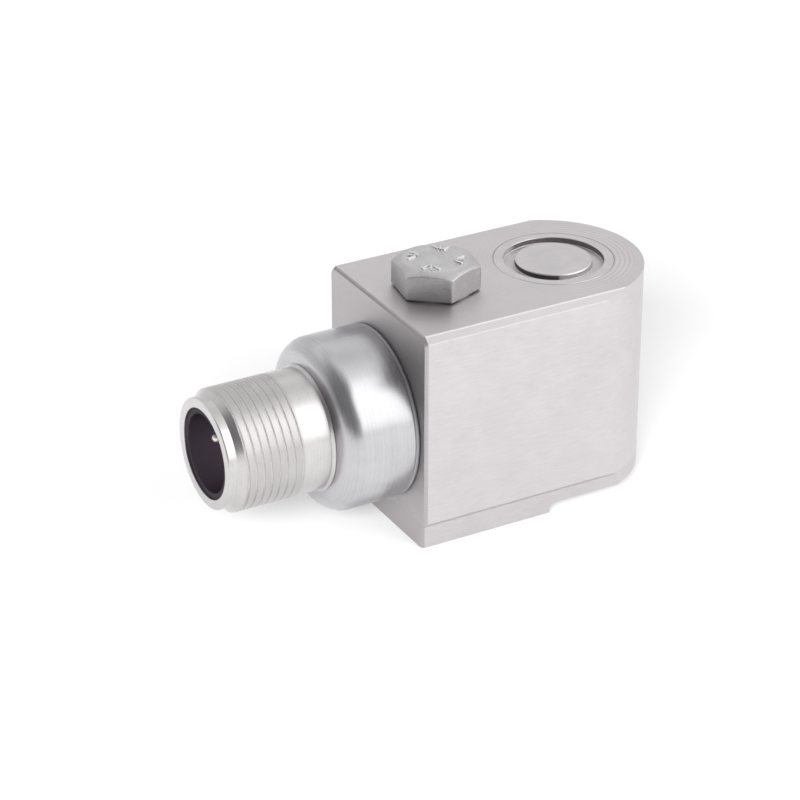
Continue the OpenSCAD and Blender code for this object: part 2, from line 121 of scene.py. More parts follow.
def tint(tree, share, a, b):
    """A mix of two colours, either of which may be mixed already."""
    a, b = (c if isinstance(c, bpy.types.NodeSocket) else (*c, 1.0) for c in (a, b))
    return put(tree, "ShaderNodeMix", {0: share, 6: a, 7: b}, data_type="RGBA").outputs[2]


def new_finish(name, metallic, **sockets):
    """A material with its shader, and the place on the piece in millimetres."""
    material = bpy.data.materials.new(name)
    material.use_nodes = True
    tree = material.node_tree
    surface = tree.nodes["Principled BSDF"]
    surface.inputs["Metallic"].default_value = metallic
    for socket, value in sockets.items():
        surface.inputs[socket.replace("_", " ")].default_value = value
    place = put(tree, "ShaderNodeTexCoord").outputs["Object"]
    place = put(tree, "ShaderNodeVectorMath", {0: place, "Scale": 1.0 / MM}, operation="SCALE").outputs[0]
    return material, tree, surface, place


def normal_of(tree):
    """The direction that the surface faces."""
    return put(tree, "ShaderNodeNewGeometry").outputs["Normal"]


def roughen(tree, surface, height, depth_mm, roughness, colour):
    """Joins a bump, a roughness and a colour to the shader."""
    bump = put(tree, "ShaderNodeBump", {"Height": height, "Strength": 1.0, "Distance": depth_mm * MM})
    tree.links.new(bump.outputs[0], surface.inputs["Normal"])
    tree.links.new(roughness, surface.inputs["Roughness"])
    tree.links.new(colour, surface.inputs["Base Color"])


def wear(node_name, material):
    """Gives a CAD node its material."""
    mesh = nodes[node_name].data
    mesh.materials.clear()
    mesh.materials.append(material)


ground_steel, tree, surface, place = new_finish("ground_case_steel", 1.0)
at = split(tree, place)
facing = split(tree, normal_of(tree))
on_top = ease(tree, facing["Z"], *TOP_FACING)
on_slope = both(tree, ease(tree, facing["Z"], *SLOPE_FROM), ease(tree, facing["Z"], *SLOPE_TO))
from_axis = away(tree, calc(tree, "SUBTRACT", at["X"], SENSOR_X), at["Y"])
below_top = calc(tree, "SUBTRACT", TOP_Z, at["Z"])
side_lines = grain(tree, place, (0.5, 0.5, 9.0), detail=4.0)
top_lines = grain(tree, place, (0.5, 9.0, 0.5), detail=4.0, seed=3.0)
lines = blend(tree, on_top, side_lines, top_lines)
cloud = grain(tree, place, 0.16, seed=7.0)
fine = grain(tree, place, 14.0, detail=2.0, seed=11.0)
# Faint rings outside the cover, and the thin seam of its weld
ring_wave = calc(tree, "SINE", calc(tree, "MULTIPLY", from_axis, math.tau / RING_STEP))
ring_zone = both(tree, ease(tree, from_axis, *RING_INNER), ease(tree, from_axis, *RING_OUTER), on_top)
rings = both(tree, ring_wave, ring_zone, ease(tree, at["X"], *RING_FRONT, 0.25, 1.0))
from_seam = calc(tree, "ABSOLUTE", calc(tree, "SUBTRACT", from_axis, SEAM_R))
seam = both(tree, ease(tree, from_seam, *SEAM_WIDTH), on_top)
# The front and the rounded end are painted darker than the sides, as painted shade, the top lighter, as
# painted light, and the foot a little darker; the chamfer round the top has a painted highlight on its
# edges
on_front = ease(tree, facing["X"], *FRONT_FACING)
on_foot = ease(tree, at["Z"], *FOOT_EDGE)
on_end = ease(tree, at["X"], *ROUND_END)
edges = calc(tree, "MAXIMUM", ease(tree, below_top, *CHAMFER_TOP), ease(tree, below_top, *CHAMFER_FOOT))
painted_edge_highlight = both(tree, on_slope, edges)
height = pile(tree, lines, (rings, 0.7), (fine, 0.45), (seam, -2.5))
rough = blend(tree, on_top, 0.25, 0.36)
rough = pile(tree, rough, (lines, 0.14), (on_slope, 0.3), (cloud, 0.06), (on_front, 0.12))
side = pile(tree, 0.46, (on_front, -0.38), (on_foot, -0.14), (on_end, -0.36), (painted_edge_highlight, 0.5))
shade = sway(tree, blend(tree, on_top, side, 0.68), (lines, 0.75), (fine, 0.5), (cloud, 0.4))
shade = pile(tree, shade, (rings, 0.2), (seam, -0.6))
roughen(tree, surface, height, 0.005, rough, tint(tree, shade, STEEL_DARK, STEEL_LIGHT))
wear("case", ground_steel)

# Cover: a turned plug of the same steel, pressed into its seat and welded flush. A groove parts its
# middle disc from the rim, and the tool's feed leaves fine rings on the disc. The groove's walls are
# painted dark on the sides that face away from the light, as painted shade and painted reflection.
COVER_T, DISC_R, GROOVE_R, GROOVE_D = 3.0, 5.0, 6.5, 0.8
DISC_EDGE, GROOVE_CORNER, RIM_EDGE, SEAM_CUT = 0.25, 0.12, 0.08, 0.07
COVER_SIDES, ARC_STEPS = 144, 4
HOLD, HOLD_SPAN = 0.06, 0.3
MERGE_DIST, SLIVER_DIST, CRISP_ANGLE = 0.000003, 0.000001, 32
DISC_WALL_SHADE, RIM_WALL_SHADE = (0.13, 0.12, 0.126), (0.24, 0.22, 0.232)
BOLT_SIDE, END_SIDE, FLAT_SIDE = (-0.934, 0.358, 0.0), (0.874, -0.485, 0.0), (-0.485, -0.874, 0.0)
GROOVE_ZONE, WALL_FACING = (0.02, 0.2), (0.5, 0.2)
RIM_ZONE, SEAM_ZONE = (6.0, 6.4), (COVER_R - 0.12, COVER_R)


def joined(tree, x=0.0, y=0.0, z=0.0):
    """A vector of three parts."""
    return put(tree, "ShaderNodeCombineXYZ", {0: x, 1: y, 2: z}).outputs[0]


def toward(tree, vector, direction):
    """How far a vector points in a direction."""
    node = put(tree, "ShaderNodeVectorMath", {0: vector, 1: direction}, operation="DOT_PRODUCT")
    return node.outputs["Value"]


def arc(r, d, radius, start, end):
    """Points of an arc on a profile, about a centre and between two angles in degrees."""
    angles = [math.radians(start + (end - start) * i / ARC_STEPS) for i in range(ARC_STEPS + 1)]
    return [(r + radius * math.cos(a), d + radius * math.sin(a)) for a in angles]


def turned_rows(profile, sides, onto):
    """Rows of points for a profile of radius and distance along an axis, turned about it and set in place.
    A long straight stretch gets a row near each end, which keeps its shading straight."""
    around = [math.tau * i / sides for i in range(sides)]
    held = [profile[0]]
    for (r0, d0), (r1, d1) in zip(profile, profile[1:]):
        span = math.hypot(r1 - r0, d1 - d0)
        shares = (HOLD / span, 1 - HOLD / span, 1.0) if span > HOLD_SPAN else (1.0,)
        held += [(r0 + (r1 - r0) * t, d0 + (d1 - d0) * t) for t in shares]
    return [[onto @ Vector((r * math.cos(a) * MM, r * math.sin(a) * MM, d * MM)) for a in around]
            for r, d in held]


def ring_faces(mesh, rows):
    """Skins rows of points, each a closed ring, and closes a row of one point as a pole."""
    rings = [[mesh.verts.new(p) for p in row] for row in rows]
    for a, b in zip(rings, rings[1:]):
        count = max(len(a), len(b))
        for i in range(count):
            j = (i + 1) % count
            corners = [a[i % len(a)], a[j % len(a)], b[j % len(b)], b[i % len(b)]]
            mesh.faces.new(list(dict.fromkeys(corners)))


def finished_piece(name, mesh, material, slot, *replaced):
    """Makes an object of a mesh, smooth with crisp edges, that rides with the part."""
    bmesh.ops.remove_doubles(mesh, verts=mesh.verts, dist=MERGE_DIST)
    bmesh.ops.dissolve_degenerate(mesh, edges=mesh.edges, dist=SLIVER_DIST)
    bmesh.ops.recalc_face_normals(mesh, faces=mesh.faces)
    shape = bpy.data.meshes.new(name)
    mesh.to_mesh(shape)
    mesh.free()
    shape.materials.append(material)
    shape.shade_smooth()
    shape.set_sharp_from_angle(angle=math.radians(CRISP_ANGLE))
    piece = bpy.data.objects.new(name, shape)
    bpy.context.scene.collection.objects.link(piece)
    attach(piece, "root")
    if replaced:
        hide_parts(*replaced)


turned_cover, tree, surface, place = new_finish("turned_cover_steel", 1.0)
at = split(tree, place)
from_axis = away(tree, calc(tree, "SUBTRACT", at["X"], SENSOR_X), at["Y"])
feed = grain(tree, joined(tree, x=from_axis, z=at["Z"]), (7.0, 1.0, 7.0), seed=2.0)
cloud = grain(tree, place, 0.3, seed=5.0)
fine = grain(tree, place, 14.0, detail=2.0, seed=1.0)
seam = ease(tree, from_axis, *SEAM_ZONE)
facing = normal_of(tree)
in_groove = ease(tree, calc(tree, "SUBTRACT", TOP_Z, at["Z"]), *GROOVE_ZONE)
on_wall = both(tree, in_groove, ease(tree, split(tree, facing)["Z"], *WALL_FACING))
# Painted shade and painted reflection: the groove's walls go dark by the way they face
rim_wall_shade = both(tree, on_wall, ease(tree, from_axis, *RIM_ZONE),
              ease(tree, toward(tree, facing, END_SIDE), 0.9, 0.7))
disc_wall_shade = both(tree, on_wall, ease(tree, toward(tree, facing, BOLT_SIDE), 0.0, 0.08),
               ease(tree, toward(tree, facing, FLAT_SIDE), -0.4, 0.2))
height = pile(tree, feed, (fine, 0.6), (seam, -1.5))
rough = pile(tree, 0.25, (feed, 0.12), (in_groove, 0.28))
shade = pile(tree, sway(tree, 0.7, (cloud, 0.7), (feed, 0.5)), (seam, -0.3))
colour = tint(tree, disc_wall_shade, tint(tree, shade, STEEL_DARK, STEEL_LIGHT), DISC_WALL_SHADE)
roughen(tree, surface, height, 0.003, rough, tint(tree, rim_wall_shade, colour, RIM_WALL_SHADE))

mesh = bmesh.new()
at_top = Matrix.Translation((SENSOR_X * MM, 0, TOP_Z * MM))
profile = [(DISC_R - DISC_EDGE - HOLD, 0.0)]
profile += arc(DISC_R - DISC_EDGE, -DISC_EDGE, DISC_EDGE, 90, 0)
profile += arc(DISC_R + GROOVE_CORNER, GROOVE_CORNER - GROOVE_D, GROOVE_CORNER, 180, 270)
profile += arc(GROOVE_R - GROOVE_CORNER, GROOVE_CORNER - GROOVE_D, GROOVE_CORNER, 270, 360)
profile += arc(GROOVE_R + RIM_EDGE, -RIM_EDGE, RIM_EDGE, 180, 90)
profile += [(COVER_R - SEAM_CUT, 0.0), (COVER_R, -SEAM_CUT), (COVER_R, -COVER_T)]
rows = turned_rows(profile, COVER_SIDES, at_top)
ring_faces(mesh, [[at_top @ Vector((0, 0, 0))], *rows, [at_top @ Vector((0, 0, -COVER_T * MM))]])
finished_piece("turned_cover", mesh, turned_cover, "case_steel", "cover")

# Mounting bolt: a hex bolt of plain steel, with a rough matte skin from its forging, a chamfered head
# and a rolled thread down its shank. It drops through the case from above.
HEAD_Z, HEAD_H, HEAD_AF, WASHER_H, BOLT_LEN = TOP_Z, 4.0, 10.0, 0.2, 25.0
HEAD_FLAT_R, WASHER_R, HEAD_SLOPE, HEAD_TURN = 4.1, 4.75, 25.0, 21.2
CORNER_ROUND, FOOT_ROUND, FOOT_HOLD = 0.45, 0.12, 0.25
# How far each row stands from the edge of the flat top or of the hex, and how far it drops there
FLAT_ROWS = ((-0.9, 0.0), (-0.14, 0.01), (0.1, 0.06))
CHAMFER_ROWS = ((0.3, 0.0), (0.1, 0.01), (0.02, 0.06), (0.0, 0.16))
HEX_SIDES, SIDE_STEPS = 6, 24
BOLT_R, BOLT_PITCH, BOLT_THREAD_DEPTH, BOLT_RUN_OUT, BOLT_TIP = 2.99, 1.0, 0.45, 2.5, 0.6
TURN_ROWS, GRID_MERGE = 16, 0.000002
SKIN_DARK, SKIN_LIGHT = (0.40, 0.388, 0.392), (0.68, 0.67, 0.678)


def new_tree(name, sizes, counts):
    """A geometry tree with named inputs for its sizes, its counts and its material."""
    tree = bpy.data.node_groups.new(name, "GeometryNodeTree")
    kinds = dict.fromkeys(sizes, "NodeSocketFloat") | dict.fromkeys(counts, "NodeSocketInt")
    for label, kind in (kinds | {"Material": "NodeSocketMaterial"}).items():
        tree.interface.new_socket(name=label, in_out="INPUT", socket_type=kind)
    tree.interface.new_socket(name="Geometry", in_out="OUTPUT", socket_type="NodeSocketGeometry")
    return tree, put(tree, "NodeGroupInput").outputs


def end_tree(tree, shape, material):
    """Ends a tree in a plain mesh that wears its material."""
    real = put(tree, "GeometryNodeRealizeInstances", {"Geometry": shape}).outputs[0]
    dressed = put(tree, "GeometryNodeSetMaterial", {"Geometry": real, "Material": material}).outputs[0]
    put(tree, "NodeGroupOutput", {"Geometry": dressed})
    return tree


def grown(name, tree, values, place):
    """Runs a geometry tree with its inputs set, and returns its result as a plain mesh in its place."""
    carrier = bpy.data.objects.new(name, bpy.data.meshes.new(name))
    bpy.context.scene.collection.objects.link(carrier)
    modifier = carrier.modifiers.new(name, "NODES")
    modifier.node_group = tree
    for socket in tree.interface.items_tree:
        if socket.name in values:
            modifier[socket.identifier] = values[socket.name]
    shape = bpy.data.meshes.new_from_object(carrier.evaluated_get(bpy.context.evaluated_depsgraph_get()))
    carrier.modifiers.clear()
    bpy.data.objects.remove(carrier)
    shape.transform(place)
    return shape


def ramp(tree, value, low, high):
    """A straight step from 0 to 1."""
    limits = {"Value": value, "From Min": low, "From Max": high}
    return put(tree, "ShaderNodeMapRange", limits, clamp=True).outputs[0]


def thread_tree():
    """A helical thread on a round bar along +Z, from Z 0 up, ending in a chamfer."""
    tree, given = new_tree("turned_thread", (
        "Length", "Pitch", "Crest Radius", "Depth", "Crest Share", "Root Share", "Run Out",
        "Chamfer Length", "Chamfer Drop"), ("Rows", "Sides"))
    rows, sides, length, crest = given["Rows"], given["Sides"], given["Length"], given["Crest Radius"]
    grid = put(tree, "GeometryNodeMeshGrid", {
        "Size X": 1.0, "Size Y": 1.0, "Vertices X": calc(tree, "ADD", rows, 1.0),
        "Vertices Y": calc(tree, "ADD", sides, 1.0)})
    here = split(tree, put(tree, "GeometryNodeInputPosition").outputs[0])
    row = calc(tree, "MULTIPLY", calc(tree, "ADD", here["X"], 0.5), rows)
    turn = calc(tree, "ADD", here["Y"], 0.5)
    # The rows of each turn follow the helix, so the crest and the root each take some rows of the pitch
    along = calc(tree, "ADD", calc(tree, "SUBTRACT", calc(tree, "DIVIDE", row, TURN_ROWS), 1.0), turn)
    along = calc(tree, "MULTIPLY", along, given["Pitch"])
    along = calc(tree, "MINIMUM", calc(tree, "MAXIMUM", along, 0.0), length)
    wave = calc(tree, "PINGPONG", calc(tree, "DIVIDE", calc(tree, "ROUND", row), TURN_ROWS), 0.5)
    groove = ramp(tree, wave, calc(tree, "MULTIPLY", given["Crest Share"], 0.5),
                  calc(tree, "MULTIPLY_ADD", given["Root Share"], -0.5, 0.5))
    fade = ramp(tree, along, 0.0, given["Run Out"])
    radius = calc(tree, "SUBTRACT", crest, both(tree, groove, fade, given["Depth"]))
    past = ramp(tree, along, calc(tree, "SUBTRACT", length, given["Chamfer Length"]), length)
    cone = calc(tree, "SUBTRACT", crest, calc(tree, "MULTIPLY", past, given["Chamfer Drop"]))
    radius = calc(tree, "MINIMUM", radius, cone)
    angle = calc(tree, "MULTIPLY", turn, math.tau)
    to = joined(tree, calc(tree, "MULTIPLY", radius, calc(tree, "COSINE", angle)),
                calc(tree, "MULTIPLY", radius, calc(tree, "SINE", angle)), along)
    moved = put(tree, "GeometryNodeSetPosition", {"Geometry": grid.outputs["Mesh"], "Position": to})
    closed = put(tree, "GeometryNodeMergeByDistance", {
        "Geometry": moved.outputs[0], "Distance": GRID_MERGE})
    return end_tree(tree, closed.outputs[0], given["Material"])


bolt_skin, tree, surface, place = new_finish("forged_bolt_steel", 1.0)
skin = grain(tree, place, 2.2, detail=5.0, seed=1.0)
pits = grain(tree, place, 7.0, seed=4.0)
cloud = grain(tree, place, 0.45, seed=8.0)
upward = split(tree, normal_of(tree))["Z"]
# The head's sides and chamfer are painted darker than its flat top, as painted shade
shade = pile(tree, 0.02, (upward, 0.58), (ease(tree, upward, 0.93, 0.97), 0.22))
shade = sway(tree, shade, (cloud, 0.8), (pits, 1.2))
roughen(tree, surface, pile(tree, skin, (pits, 0.6)), 0.06, pile(tree, 0.34, (skin, 0.2)),
        tint(tree, shade, SKIN_DARK, SKIN_LIGHT))

mesh = bmesh.new()
head_steps = HEX_SIDES * SIDE_STEPS
even = [math.radians(HEAD_TURN) + math.tau * i / head_steps for i in range(head_steps)]
# On the hex the points crowd towards the corners: each side runs from corner to corner
sides = [(i // SIDE_STEPS, math.cos(math.pi * (i % SIDE_STEPS) / SIDE_STEPS)) for i in range(head_steps)]
crowded = [math.radians(HEAD_TURN + 60 * side + 30 - 30 * share) for side, share in sides]
round_at = (HEAD_AF / 2 - CORNER_ROUND) / math.cos(math.radians(30))


def hex_reach(angle):
    """Distance from the bolt's axis to the side of the hex with its rounded corners, in a direction."""
    from_corner = (angle - math.radians(HEAD_TURN) + math.radians(30)) % math.radians(60) - math.radians(30)
    flat = HEAD_AF / 2 / math.cos(math.radians(30) - abs(from_corner))
    inside = CORNER_ROUND ** 2 - (round_at * math.sin(from_corner)) ** 2
    if flat * math.sin(math.radians(30) - abs(from_corner)) < round_at / 2 or inside < 0:
        return flat
    return round_at * math.cos(from_corner) + math.sqrt(inside)


def round_row(radius, rise, angles=crowded):
    """A round ring of points on the bolt, at a rise from the head's underside."""
    z = (HEAD_Z + rise) * MM
    return [(radius * math.cos(a) * MM, radius * math.sin(a) * MM, z) for a in angles]


def hex_row(inset, rise):
    """A ring of points that follows the hex, set in from it."""
    reach = [hex_reach(a) - inset for a in crowded]
    z = (HEAD_Z + rise) * MM
    return [(r * math.cos(a) * MM, r * math.sin(a) * MM, z) for r, a in zip(reach, crowded)]


def chamfer_row(inset, fall):
    """A ring of points on the cone that cuts the hex, or a little under it where the edge is rounded."""
    slope = math.tan(math.radians(HEAD_SLOPE))
    heights = [HEAD_Z + HEAD_H - fall - (hex_reach(a) - inset - HEAD_FLAT_R) * slope for a in crowded]
    return [(x, y, z * MM) for (x, y, _), z in zip(hex_row(inset, 0.0), heights)]


ring_faces(mesh, [
    [(0.0, 0.0, (HEAD_Z + HEAD_H) * MM)],
    *(round_row(HEAD_FLAT_R + out, HEAD_H - fall) for out, fall in FLAT_ROWS),
    *(chamfer_row(inset, fall) for inset, fall in CHAMFER_ROWS),
    hex_row(0.0, WASHER_H + FOOT_HOLD),
    hex_row(0.0, WASHER_H + FOOT_ROUND),
    hex_row(FOOT_ROUND, WASHER_H),
    round_row(WASHER_R, WASHER_H),
    round_row(WASHER_R, 0.0),
    round_row(BOLT_R, 0.0, even),
])
thread = thread_tree()
downward = Matrix.Translation((0, 0, HEAD_Z * MM)) @ Matrix.Rotation(math.pi, 4, "X")
mesh.from_mesh(grown("bolt_thread", thread, {
    "Length": BOLT_LEN * MM, "Pitch": BOLT_PITCH * MM, "Crest Radius": BOLT_R * MM,
    "Depth": BOLT_THREAD_DEPTH * MM, "Crest Share": 2 / TURN_ROWS, "Root Share": 4 / TURN_ROWS,
    "Run Out": BOLT_RUN_OUT * MM, "Chamfer Length": BOLT_TIP * MM, "Chamfer Drop": BOLT_TIP * MM,
    "Rows": TURN_ROWS * (int(BOLT_LEN / BOLT_PITCH) + 2), "Sides": head_steps, "Material": bolt_skin,
}, downward @ Matrix.Rotation(math.radians(-HEAD_TURN), 4, "Z")))
ring_faces(mesh, [round_row(BOLT_R - BOLT_TIP, -BOLT_LEN, even), [(0.0, 0.0, (HEAD_Z - BOLT_LEN) * MM)]])
finished_piece("hex_bolt", mesh, bolt_skin, "bolt_steel", "mounting_bolt")

# Head marks: four clusters of short dashes that the forging die raises on the head, rubbed lighter in
# a fine mottle.
MARK_CIRCLE_R, MARK_TURN, MARK_CLUSTERS, MARK_DASHES = 3.0, 49, 4, 3
DASH_L, DASH_W, DASH_H, DASH_GAP, DASH_ROUND = 1.25, 0.34, 0.34, 0.72, 0.06
LEAN_STEP, LEAN_START = 0.7, -0.5
MARK_DARK, MARK_LIGHT = (0.62, 0.61, 0.615), (0.92, 0.91, 0.91)


def mark_tree():
    """Clusters of short raised dashes set round a circle."""
    tree, given = new_tree("head_marks", (
        "Circle Radius", "Dash Length", "Dash Width", "Dash Height", "Dash Gap", "Turn",
    ), ("Clusters", "Dashes"))
    size = joined(tree, given["Dash Length"], given["Dash Width"], given["Dash Height"])
    dash = put(tree, "GeometryNodeMeshCube", {
        "Size": size, "Vertices X": 2, "Vertices Y": 2, "Vertices Z": 2})
    reach = calc(tree, "MULTIPLY", given["Dash Gap"], calc(tree, "SUBTRACT", given["Dashes"], 1.0))
    row = put(tree, "GeometryNodeMeshLine", {
        "Count": given["Dashes"], "Start Location": joined(tree, y=calc(tree, "MULTIPLY", reach, -0.5)),
        "Offset": joined(tree, y=given["Dash Gap"])}, mode="OFFSET")
    index = put(tree, "GeometryNodeInputIndex").outputs[0]
    lean = joined(tree, z=calc(tree, "MULTIPLY_ADD", index, LEAN_STEP, LEAN_START))
    cluster = put(tree, "GeometryNodeInstanceOnPoints", {
        "Points": row.outputs[0], "Instance": dash.outputs["Mesh"], "Rotation": lean})
    circle = put(tree, "GeometryNodeMeshCircle", {
        "Vertices": given["Clusters"], "Radius": given["Circle Radius"]})
    here = split(tree, put(tree, "GeometryNodeInputPosition").outputs[0])
    bearing = joined(tree, z=calc(tree, "ARCTAN2", here["Y"], here["X"]))
    spread = put(tree, "GeometryNodeInstanceOnPoints", {
        "Points": circle.outputs[0], "Instance": cluster.outputs[0], "Rotation": bearing})
    turned = put(tree, "GeometryNodeTransform", {
        "Geometry": spread.outputs[0], "Rotation": joined(tree, z=given["Turn"])})
    return end_tree(tree, turned.outputs[0], given["Material"])


worn_steel, tree, surface, place = new_finish("worn_mark_steel", 1.0)
rub = grain(tree, place, 5.0, seed=6.0)
roughen(tree, surface, rub, 0.03, pile(tree, 0.14, (rub, 0.2)), tint(tree, rub, MARK_DARK, MARK_LIGHT))
mesh = bmesh.new()
mesh.from_mesh(grown("head_marks", mark_tree(), {
    "Circle Radius": MARK_CIRCLE_R * MM, "Dash Length": DASH_L * MM, "Dash Width": DASH_W * MM,
    "Dash Height": DASH_H * MM, "Dash Gap": DASH_GAP * MM, "Turn": math.radians(MARK_TURN),
    "Clusters": MARK_CLUSTERS, "Dashes": MARK_DASHES, "Material": worn_steel,
}, Matrix.Translation((0, 0, (HEAD_Z + HEAD_H) * MM))))
bmesh.ops.bevel(mesh, geom=mesh.edges, offset=DASH_ROUND * MM, segments=2, affect="EDGES", profile=0.5)
finished_piece("bolt_head_marks", mesh, worn_steel, "bolt_steel")

# Boss: an adapter turned from stainless bar, with a large shoulder radius and a thin edge at the case
# where the weld takes hold. The tool's feed runs round it in fine rings, and its underside is painted
# darker, as painted shade.
AXIS_Z = 14.55
BOSS_DARK, BOSS_LIGHT, BOSS_SHADE_COLOUR = (0.435, 0.431, 0.449), (0.67, 0.66, 0.678), (0.262, 0.259, 0.269)
WELD_EDGE = (-9.2, -9.0)
BOSS_SHADE_DROP, BOSS_SHADE_BACK, BOSS_SHADE_FRONT = (5.4, 8.0), (-10.8, -12.2), (-17.6, -15.6)
turned_steel, tree, surface, place = new_finish("turned_boss_steel", 1.0)
feed = grain(tree, place, (8.0, 0.05, 0.05), detail=4.0, seed=2.0)
broad = grain(tree, place, (1.6, 0.02, 0.02), detail=2.0, seed=6.0)
cloud = grain(tree, place, 0.2, seed=9.0)
fine = grain(tree, place, 9.0, detail=2.0, seed=4.0)
at = split(tree, place)
at_weld = ease(tree, at["X"], *WELD_EDGE)
# Painted shade: the underside is painted darker
under_shade = ease(tree, calc(tree, "SUBTRACT", AXIS_Z, at["Z"]), *BOSS_SHADE_DROP)
shaded_underside = both(tree, under_shade, ease(tree, at["X"], *BOSS_SHADE_BACK), ease(tree, at["X"], *BOSS_SHADE_FRONT, 0.15, 1.0))
height = pile(tree, feed, (broad, 0.8), (fine, 0.3))
rough = pile(tree, 0.18, (feed, 0.16), (cloud, 0.08), (at_weld, 0.25))
shade = pile(tree, sway(tree, 0.5, (cloud, 0.8), (feed, 1.0), (fine, 0.6)), (at_weld, -0.4))
colour = tint(tree, shade, BOSS_DARK, BOSS_LIGHT)
roughen(tree, surface, height, 0.006, rough, tint(tree, shaded_underside, colour, BOSS_SHADE_COLOUR))
wear("connector_boss", turned_steel)

# Shell: turned from the same bar and pressed into the boss, with a weld collar, a plain neck, a cut
# thread that runs out at the neck, a lead-in cone and a lip round the socket. Its lower side is painted
# darker, as painted shade.
FRONT_X = -8.45
BOSS_LEN, NECK_LEN, THREAD_LEN, LEAD_IN, LIP_LEN = 10.15, 4.2, 8.0, 0.75, 1.25
THREAD_R, LIP_R, BORE_R, REAR_BORE_R = 7.9375, 7.175, 5.87, 5.0
SHELL_PITCH, SHELL_THREAD_DEPTH, SHELL_RUN_OUT, SHELL_TURNS = 1.0583, 0.23, 0.4, 10
COLLAR_RISE, COLLAR_LAND, COLLAR_CONE, COLLAR_EDGE = 0.3, 0.15, 0.3, 0.05
COLLAR_FOOT_R, COLLAR_FOOT_L = 0.03, 0.04
LIP_ROUND, LIP_MID, BORE_ROUND, BORE_MID = 0.17, 0.05, 0.1, 0.03
SHELL_HOLD_R, SHELL_BACK, SEAT, SHELL_SIDES = 6.98, 4.15, 11.0, 128
SHELL_DARK, SHELL_LIGHT = (0.50, 0.482, 0.484), (0.71, 0.685, 0.687)
FLANK_LIT, FLANK_SHADED = (0.88, 0.86, 0.865), (0.62, 0.60, 0.605)
FLANK_ZONE, SHELL_SHADE_DROP = (THREAD_R - 0.04, THREAD_R - 0.1), (1.0, 5.0)
thread_start = BOSS_LEN + NECK_LEN
thread_end = thread_start + THREAD_LEN
lip_start = thread_end + LEAD_IN
mouth = lip_start + LIP_LEN
neck_end = BOSS_LEN + COLLAR_LAND + COLLAR_CONE
forward = Matrix.Translation((FRONT_X * MM, 0, AXIS_Z * MM)) @ Matrix.Rotation(math.radians(-90), 4, "Y")

lathe_steel, tree, surface, place = new_finish("turned_shell_steel", 1.0)
feed = grain(tree, place, (9.0, 0.05, 0.05), detail=4.0, seed=12.0)
cloud = grain(tree, place, 0.25, seed=19.0)
fine = grain(tree, place, 9.0, detail=2.0, seed=14.0)
at = split(tree, place)
reach = calc(tree, "SUBTRACT", FRONT_X, at["X"])
drop = calc(tree, "SUBTRACT", AXIS_Z, at["Z"])
on_thread = both(tree, ease(tree, reach, thread_end + 0.1, thread_end - 0.1),
                 ease(tree, reach, thread_start - 0.2, thread_start + 0.2))
on_flank = both(tree, on_thread, ease(tree, away(tree, at["Y"], drop), *FLANK_ZONE))
under_shade = ease(tree, drop, *SHELL_SHADE_DROP)
rough = pile(tree, 0.2, (feed, 0.12), (cloud, 0.06), (on_thread, 0.10), (on_flank, 0.3))
# Painted shade: the thread darker than the neck and the lower side darker; painted light: the flanks
# lighter than the crests
shade = sway(tree, 0.6, (cloud, 0.8), (feed, 1.0), (fine, 0.6))
shade = pile(tree, shade, (on_thread, -0.4), (under_shade, -0.4))
colour = tint(tree, shade, SHELL_DARK, SHELL_LIGHT)
flank = tint(tree, under_shade, FLANK_LIT, FLANK_SHADED)
roughen(tree, surface, pile(tree, feed, (fine, 0.3)), 0.006, rough, tint(tree, on_flank, colour, flank))

mesh = bmesh.new()
ring_faces(mesh, turned_rows([
    (REAR_BORE_R, SHELL_BACK), (SHELL_HOLD_R, SHELL_BACK), (SHELL_HOLD_R, BOSS_LEN),
    (THREAD_R + COLLAR_RISE - COLLAR_EDGE, BOSS_LEN), (THREAD_R + COLLAR_RISE, BOSS_LEN + COLLAR_EDGE),
    (THREAD_R + COLLAR_RISE, BOSS_LEN + COLLAR_LAND), (THREAD_R + COLLAR_FOOT_R, neck_end - COLLAR_FOOT_L),
    (THREAD_R, neck_end), (THREAD_R, thread_start)], SHELL_SIDES, forward))
ring_faces(mesh, turned_rows([
    (LIP_R, lip_start), (LIP_R, mouth - LIP_ROUND), (LIP_R - LIP_MID, mouth - LIP_MID),
    (LIP_R - LIP_ROUND, mouth), (BORE_R + BORE_ROUND, mouth), (BORE_R + BORE_MID, mouth - BORE_MID),
    (BORE_R, mouth - BORE_ROUND), (BORE_R, SEAT), (REAR_BORE_R, SEAT), (REAR_BORE_R, SHELL_BACK),
], SHELL_SIDES, forward))
mesh.from_mesh(grown("shell_thread", thread, {
    "Length": (THREAD_LEN + LEAD_IN) * MM, "Pitch": SHELL_PITCH * MM, "Crest Radius": THREAD_R * MM,
    "Depth": SHELL_THREAD_DEPTH * MM, "Crest Share": 12 / TURN_ROWS, "Root Share": 0.0,
    "Run Out": SHELL_RUN_OUT * MM, "Chamfer Length": LEAD_IN * MM, "Chamfer Drop": (THREAD_R - LIP_R) * MM,
    "Rows": TURN_ROWS * SHELL_TURNS, "Sides": SHELL_SIDES, "Material": lathe_steel,
}, forward @ Matrix.Translation((0, 0, thread_start * MM))))
finished_piece("threaded_shell", mesh, lathe_steel, "turned_steel", "connector_shell")

